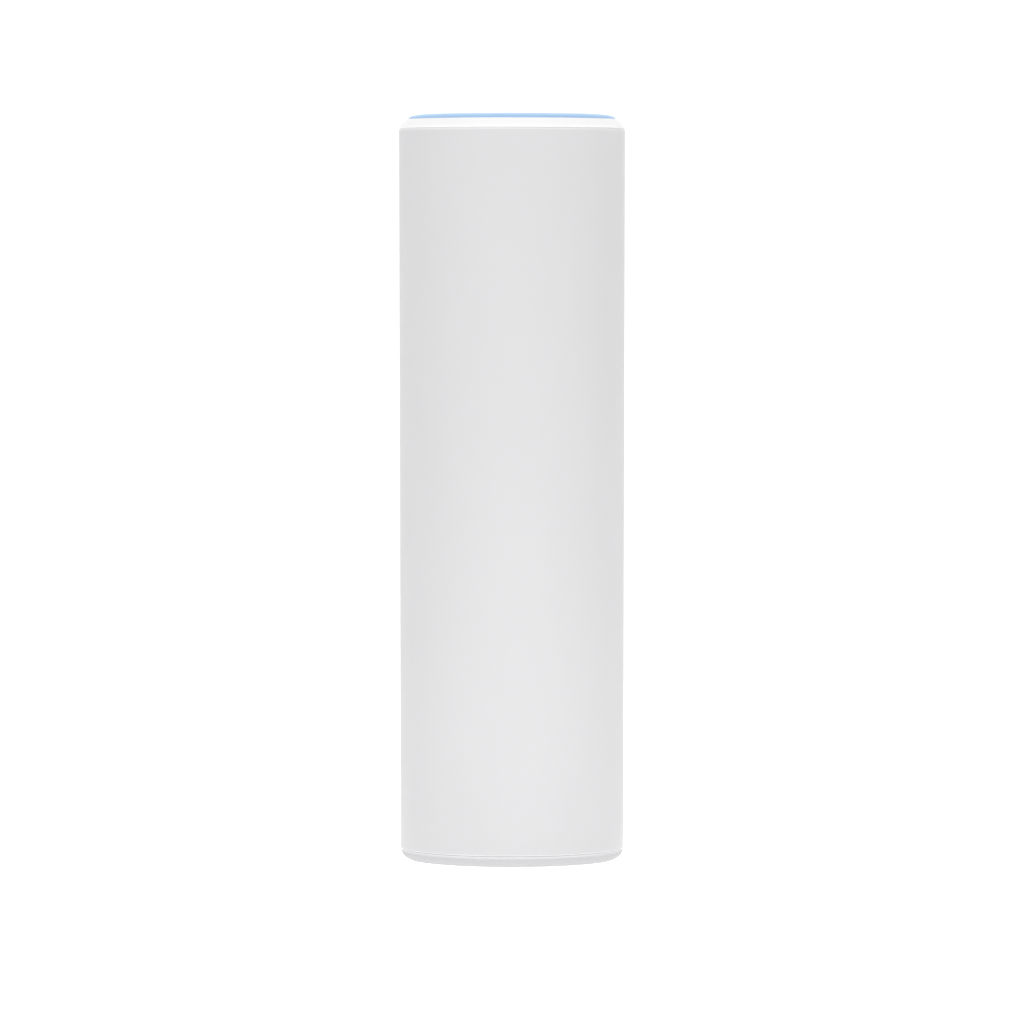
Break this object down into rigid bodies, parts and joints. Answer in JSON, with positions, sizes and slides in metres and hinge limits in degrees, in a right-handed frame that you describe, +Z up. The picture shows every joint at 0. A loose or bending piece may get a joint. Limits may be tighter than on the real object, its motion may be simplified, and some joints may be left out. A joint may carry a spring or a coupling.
{
  "type": "mesh wifi node",
  "caption": "Slim upright mesh Wi-Fi node: white can with a light ring round its top, a pull-off base and a network socket inside the bottom bay.",
  "frame": {"origin": "on the standing surface, under the can's axis, at the underside of the rubber foot", "axes": "+Z up along the can's axis, front towards -Y, cable exit at the rear towards +Y, +X to the right seen from the front"},
  "size_m": [0.0478, 0.0478, 0.158],
  "materials": {
    "shell_white": "fine moulded texture, satin",
    "bezel_white": "smooth white",
    "light_diffuser": "milky translucent, lit pale blue",
    "baffle_white": "matte white, reflective",
    "base_white": "fine moulded texture",
    "plate_grey": "matte light grey",
    "carrier_black": "matte black",
    "board_green": "solder mask over glass-fibre board",
    "board_white": "white solder mask",
    "chip_black": "moulded black package",
    "led_yellow": "phosphor-filled lens",
    "copper": "copper foil",
    "contact_gold": "gold plated",
    "tinned_steel": "tinned sheet steel",
    "screw_steel": "zinc plated",
    "cast_aluminium": "extruded, plain",
    "pad_grey": "soft silicone",
    "seal_rubber": "silicone rubber",
    "grommet_rubber": "light grey rubber",
    "foot_rubber": "light grey rubber",
    "ferrite": "sintered ferrite",
    "winding_tape": "yellow polyester tape",
    "jack_black": "glass-filled black",
    "light_pipe": "clear",
    "button_grey": "matte grey",
    "lead_black": "coaxial lead jacket",
    "ribbon_white": "flat flexible lead",
    "socket_cream": "cream nylon"
  },
  "bodies": {
    "can": {"outer_shell": "shell_white", "top_bezel": "bezel_white", "bezel_gasket": "seal_rubber", "light_ring": "light_diffuser", "top_disc": "bezel_white", "light_baffle": "baffle_white", "led_board": "board_white", "leds": "led_yellow", "stack_screws": "screw_steel", "antenna_carrier": "carrier_black", "carrier_screws": "screw_steel", "antenna_traces": "copper", "lead_plugs": "contact_gold", "heat_sink": "cast_aluminium", "thermal_pads": "pad_grey", "main_board": "board_green", "board_screws": "screw_steel", "processor": "chip_black", "memory_chips": "chip_black", "radio_chips": "chip_black", "ethernet_magnetics": "chip_black", "power_transformer": "ferrite", "power_winding": "winding_tape", "capacitors": "cast_aluminium", "power_inductors": "ferrite", "ribbon_sockets": "socket_cream", "ribbon_cable": "ribbon_white", "port_plate": "plate_grey", "plate_gasket": "seal_rubber", "shell_screws": "screw_steel", "spine_screws": "screw_steel", "jack_shell": "tinned_steel", "jack_insert": "jack_black", "jack_contacts": "contact_gold", "jack_lights": "light_pipe", "reset_switch": "chip_black", "cable_grommet": "grommet_rubber", "antenna_front": "board_green", "antenna_lead_front": "lead_black", "antenna_right": "board_green", "antenna_lead_right": "lead_black", "antenna_rear": "board_green", "antenna_lead_rear": "lead_black", "antenna_left": "board_green", "antenna_lead_left": "lead_black", "radio_shield_low": "tinned_steel", "cpu_shield": "tinned_steel", "radio_shield_high": "tinned_steel"},
    "button": {"reset_button": "button_grey", "switch_stem": "button_grey"},
    "base": {"base_cover": "base_white", "base_seal": "seal_rubber", "foot_ring": "foot_rubber"}
  },
  "joints": [
    {"name": "base_pull", "type": "slide", "parent": "can", "child": "base", "axis": [0, 0, -1], "range_m": [0, 0.008]},
    {"name": "reset_press", "type": "slide", "parent": "can", "child": "button", "axis": [0, 0, 1], "range_m": [0, 0.0005], "stiffness_N_per_m": 400}
  ]
}
